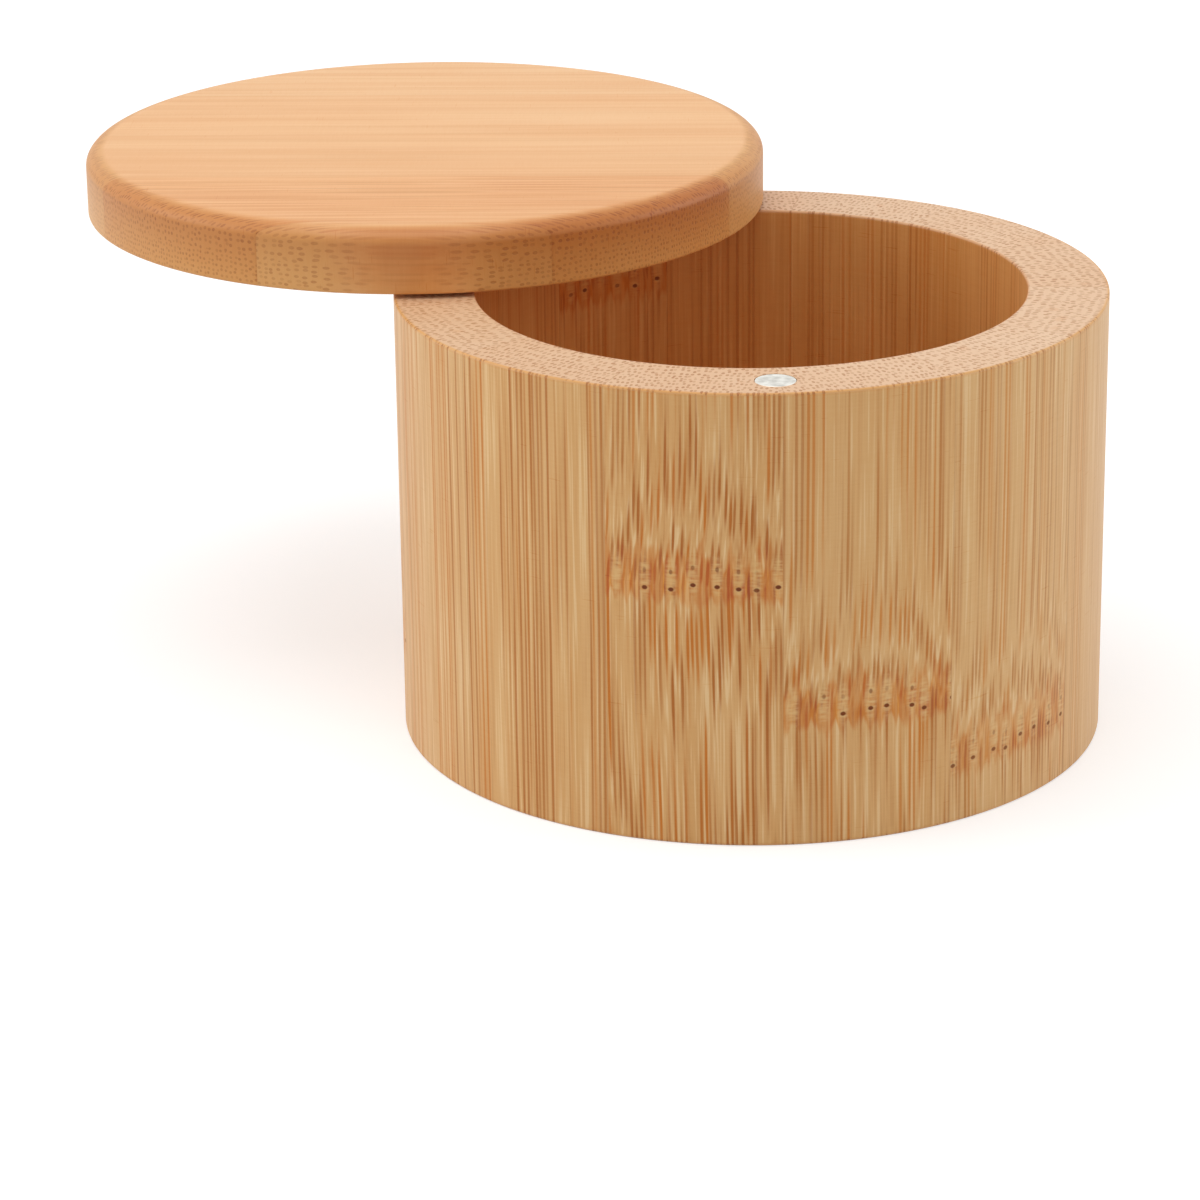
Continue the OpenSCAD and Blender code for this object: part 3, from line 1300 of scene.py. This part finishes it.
@dataclass
class Lid:
    """The lid: five strips, cut round, with an elliptical rounding on the top edge."""

    radius: float = 45.2
    thickness: float = 8.4
    round_w: float = 3.0
    round_h: float = 2.0
    round_steps: int = 18
    ease: float = 0.3
    ease_steps: int = 5
    margin: float = 0.3
    edge_w: float = 4.0
    steps: int = 288
    # The edge band begins at the rounding's inner edge, is full at ring_mm from the side and drops to under_share
    # below the shoulder. It is whole between the directions painted_shade_from and painted_shade_to, on the stretch
    # that reaches over the box, where the band is painted shade, and elsewhere unshaded_share. The edge is darker
    # where it runs within tint_turn degrees of the grain.
    ring_mm: float = 0.6
    shoulder_mm: Pair = (3.4, 5.4)
    under_share: float = 0.15
    unshaded_share: float = 0.6
    painted_shade_from: Pair = (-5.0, 25.0)
    painted_shade_to: Pair = (62.0, 66.0)
    tint_turn: Pair = (3.0, 14.0)
    tones: tuple[float, ...] = (0.95, 0.88, 1.0, 1.0, 1.04)
    contrasts: tuple[float, ...] = (1.1, 2.0, 0.6, 0.6, 0.6)

    def outline(self, low: float) -> np.ndarray:
        """Works out the lid's outline from the axis below to the axis above.

        The bottom edge is a quarter circle, and the top one a quarter of an ellipse: radius - w (1 - cos) and
        height - h (1 - sin), with a point a little past each end.

        Args:
            low: Height of the underside.

        Returns:
            The outline as (radius, height).
        """
        turn = np.linspace(0, math.pi / 2, self.round_steps + 1)
        foot = np.linspace(0, math.pi / 2, self.ease_steps + 1)
        bottom = np.stack([self.radius - self.ease * (1 - np.sin(foot)), self.ease * (1 - np.cos(foot))], axis=1)
        top_r = self.radius - self.round_w * (1 - np.cos(turn))
        top_z = self.thickness - self.round_h * (1 - np.sin(turn))
        section = [
            [0.0, 0.0],
            [self.radius - self.ease - self.margin, 0.0],
            *bottom,
            [self.radius, self.ease + self.margin],
            [self.radius, self.thickness - self.round_h - self.margin],
            *np.stack([top_r, top_z], axis=1),
            [self.radius - self.round_w - self.margin, self.thickness],
            [0.0, self.thickness],
        ]
        return np.array(section) + np.array([0.0, low])

    def tints_and_shade(self, flat: np.ndarray) -> TwoArrays:
        """Gives the lid's tints: a band under the rounding, and a darker tint where the edge runs along the grain.

        Args:
            flat: x, y, z from the middle of the lid's underside, in millimetres.

        Returns:
            Band and tint of each point. The band is darkest, as painted shade, where the edge reaches over the box.
            The tint takes the place of the wall's bore.
        """
        radius = np.hypot(flat[:, 0], flat[:, 1])
        turn = np.degrees(np.arctan2(flat[:, 0], -flat[:, 1]))
        ring = smooth(radius, self.radius - self.round_w, self.radius - self.ring_mm)
        shoulder = self.under_share + (1 - self.under_share) * smooth(flat[:, 2], *self.shoulder_mm)
        # Painted shade on the stretch of the edge that reaches over the box.
        painted_shade = smooth(turn, *self.painted_shade_from) * (1 - smooth(turn, *self.painted_shade_to))
        off_grain = np.degrees(np.arctan2(np.abs(flat[:, 0]), np.abs(flat[:, 1])))
        burnish = ring * shoulder * (self.unshaded_share + (1 - self.unshaded_share) * painted_shade)
        return burnish, ring * (1 - smooth(off_grain, *self.tint_turn))

    def build(self, material: Material, closure: Closure, cutters: Sequence[Piece]) -> list[Piece]:
        """Builds the strips where the open lid rests.

        Args:
            material: Their material.
            closure: Says where the lid swings.
            cutters: The cutters of the pocket and the hole in its underside.

        Returns:
            The strips.
        """
        centre = closure.swung(np.zeros(3))
        low = closure.lid_z
        width = (2 * self.radius - self.edge_w) / 4
        start = -self.radius + self.edge_w
        board = Board(
            name="lid_board",
            node="lid_strip",
            body=Body.LID,
            slot=Slot.LID,
            high=low + self.thickness,
            centre=tuple(centre),
            grain_turn=0.0,
            seams=(-self.radius, *(start + width * step for step in range(5))),
            seed=20.0,
            steps=self.steps,
            tones=self.tones,
            contrasts=self.contrasts,
        )
        # The magnet's pocket lies in the third strip, and the pin's hole in the third and the fourth.
        cuts = {3: cutters, 4: cutters[1:]}
        foot = centre + np.array(UP) * low
        return board.build(self.outline(low), material, lambda points: self.tints_and_shade(points - foot), cuts)


# --- studio ---


def placed(name: str, data: bpy.types.ID, axes: Sequence[np.ndarray], place: np.ndarray) -> bpy.types.Object:
    """Makes an object of a camera or a lamp, and turns and places it.

    Args:
        name: Name of the object.
        data: The camera or the lamp.
        axes: Unit vectors to its right, up and back.
        place: Where it stands, in metres.

    Returns:
        The object.
    """
    made = bpy.data.objects.new(name, data)
    matrix = np.eye(4)
    matrix[:3] = np.stack([*axes, place], axis=1)
    made.matrix_world = Matrix(matrix.tolist())
    bpy.context.scene.collection.objects.link(made)
    return made


def rolled(first: np.ndarray, second: np.ndarray, turn: float) -> TwoArrays:
    """Turns two unit vectors at right angles in their plane, the first one towards the second, by radians."""
    cos, sin = math.cos(turn), math.sin(turn)
    return cos * first + sin * second, cos * second - sin * first


def seen_plainly(put: Put) -> Socket:
    """Tells whether the camera sees something straight, in a mirror or through glass.

    Args:
        put: Adds a node.

    Returns:
        1 if it does, and 0 for the light that it casts.
    """
    path = put("LightPath").node.outputs
    seen = put("Math", path["Is Camera Ray"], path["Is Glossy Ray"], operation="MAXIMUM")
    return put("Math", seen, path["Is Transmission Ray"], operation="MAXIMUM")


@dataclass
class ViewPoint:
    """The photograph's camera, as fitted to the outlines of the box and the lid in its 1200 pixel square frame."""

    frame_px: float = 1200.0
    focal_px: float = 4550.9
    distance: float = 583.5481
    elevation: float = 19.0384
    roll: float = 0.1002
    aim_height: float = 30.0
    aim_px: Pair = (750.9829, 490.9801)
    sensor_mm: float = 36.0
    clip_m: Pair = (0.05, 20.0)

    def build(self) -> bpy.types.Object:
        """Builds the camera.

        It stands at the distance from the aim, looking at it from above at the elevation, and is then turned so
        that the aim lands on its pixel, and rolled.

        Returns:
            The camera.
        """
        up, forward = rolled(np.array(UP), np.array([0.0, 1.0, 0.0]), math.radians(self.elevation))
        eye = np.array(UP) * self.aim_height - forward * self.distance
        aside, below = self.aim_px[0] - self.frame_px / 2, self.aim_px[1] - self.frame_px / 2
        right, forward = rolled(np.array([1.0, 0.0, 0.0]), forward, math.atan2(aside, self.focal_px))
        up, forward = rolled(up, forward, math.atan2(-below, math.hypot(self.focal_px, aside)))
        up, right = rolled(up, right, math.radians(self.roll))
        lens = bpy.data.cameras.new("photo_camera")
        lens.sensor_width = self.sensor_mm
        lens.lens = self.focal_px / self.frame_px * self.sensor_mm
        lens.clip_start, lens.clip_end = self.clip_m
        camera = placed("photo_camera", lens, (right, up, -forward), eye * METRES)
        bpy.context.scene.camera = camera
        return camera


@dataclass(frozen=True)
class Softbox:
    """A square soft lamp that looks at the box: where it stands and its side, in metres, and its power."""

    name: str
    place: Triple
    side: float
    watts: float
    aim_height: float = 0.04

    def build(self) -> bpy.types.Object:
        """Builds the lamp, turned so that its light falls on the box.

        Returns:
            The lamp.
        """
        lamp = bpy.data.lights.new(self.name, "AREA")
        lamp.shape, lamp.size, lamp.energy = "SQUARE", self.side, self.watts
        back = np.array(self.place) - np.array((0.0, 0.0, self.aim_height))
        back /= np.linalg.norm(back)
        # Any vector that isn't upright will do to find the lamp's right.
        side = np.cross((0.0, 1.0, 0.01), back)
        side /= np.linalg.norm(side)
        return placed(self.name, lamp, (side, np.cross(back, side), back), np.array(self.place))


@dataclass
class Studio:
    """A plain white sweep under soft light."""

    floor_side: float = 8.0
    floor_colour: str = "#D8D8D8"
    floor_lift: float = 0.45
    sky: float = 0.62
    lamps: tuple[Softbox, ...] = (
        Softbox("top_softbox", (-0.15, -0.1, 1.2), 0.9, 4.8),
        Softbox("left_softbox", (-1.05, 0.0, 0.6), 0.7, 3.4),
        Softbox("right_softbox", (1.1, 0.1, 0.4), 0.7, 2.3),
    )

    def floor_material(self) -> Material:
        """Builds the floor's white paper, which shows the camera a little more light than it casts.

        Returns:
            The material.
        """
        material, put = blank_material("white_matt_paper")
        paper = put("BsdfDiffuse", linear(self.floor_colour))
        glow = put("Emission", WHITE, put("Math", seen_plainly(put), self.floor_lift, **TIMES))
        put("OutputMaterial", put("AddShader", paper, glow))
        return material

    def build(self) -> None:
        """Builds the floor, the world and the lamps."""
        half = self.floor_side / 2
        mesh = bpy.data.meshes.new("studio_floor")
        mesh.from_pydata([(-half, -half, 0), (half, -half, 0), (half, half, 0), (-half, half, 0)], [], [(0, 1, 2, 3)])
        mesh.materials.append(self.floor_material())
        floor = bpy.data.objects.new("studio_floor", mesh)
        bpy.context.scene.collection.objects.link(floor)
        world = bpy.data.worlds.new("studio_world")
        bpy.context.scene.world = world
        world.use_nodes = True
        world.node_tree.nodes.clear()
        put = partial(add, world.node_tree)
        strength = put("Mix", seen_plainly(put), sockets={2: self.sky, 3: 1.0})
        put("OutputWorld", put("Background", WHITE, strength))
        for lamp in self.lamps:
            lamp.build()


def main() -> None:
    """Loads the frame, builds the camera, the studio and the pieces."""
    logging.basicConfig(level=logging.INFO, format="%(name)s: %(message)s")
    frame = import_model()
    bpy.context.scene.view_settings.view_transform = "Standard"
    ViewPoint().build()
    Studio().build()

    wall_bamboo = SandedBamboo("sanded_bamboo_staves").material()
    floor_bamboo = SandedBamboo("sanded_bamboo_floor", pale="#E9BE80", tan="#D9A45C").material()
    lid_bamboo = SandedBamboo(
        "sanded_bamboo_lid",
        cream="#F0C291",
        pale="#EDBA83",
        tan="#E2A569",
        brown="#C98C52",
        orange="#D08546",
        end_pale="#DFA663",
        end_brown="#9C5410",
        dot_share=0.44,
        dot_reach=0.32,
        # The lid's edge band, which is painted shade where the edge reaches over the box.
        burnish="#E2C6A4",
        bore="#F0DDB8",
        joint_share=0.1,
        fine_mm=0.36,
        coarse_mm=0.44,
        line_share=0.4,
        broad_share=0.34,
    ).material()
    closure = Closure()
    rim_cutters, lid_cutters = closure.cutters()
    pieces = Wall().build(wall_bamboo, rim_cutters)
    pieces += FloorBoard().build(floor_bamboo)
    pieces += Lid().build(lid_bamboo, closure, lid_cutters)
    pieces += closure.build(DrawnSteel().material(), NickelPlate().material())
    discard([*rim_cutters, *lid_cutters])
    left_over = sorted(name for name, node in frame["nodes"].items() if not node.hide_render)
    LOG.info("%d pieces; CAD nodes still shown: %s", len(pieces), left_over or "none")


if __name__ == "__main__":
    main()
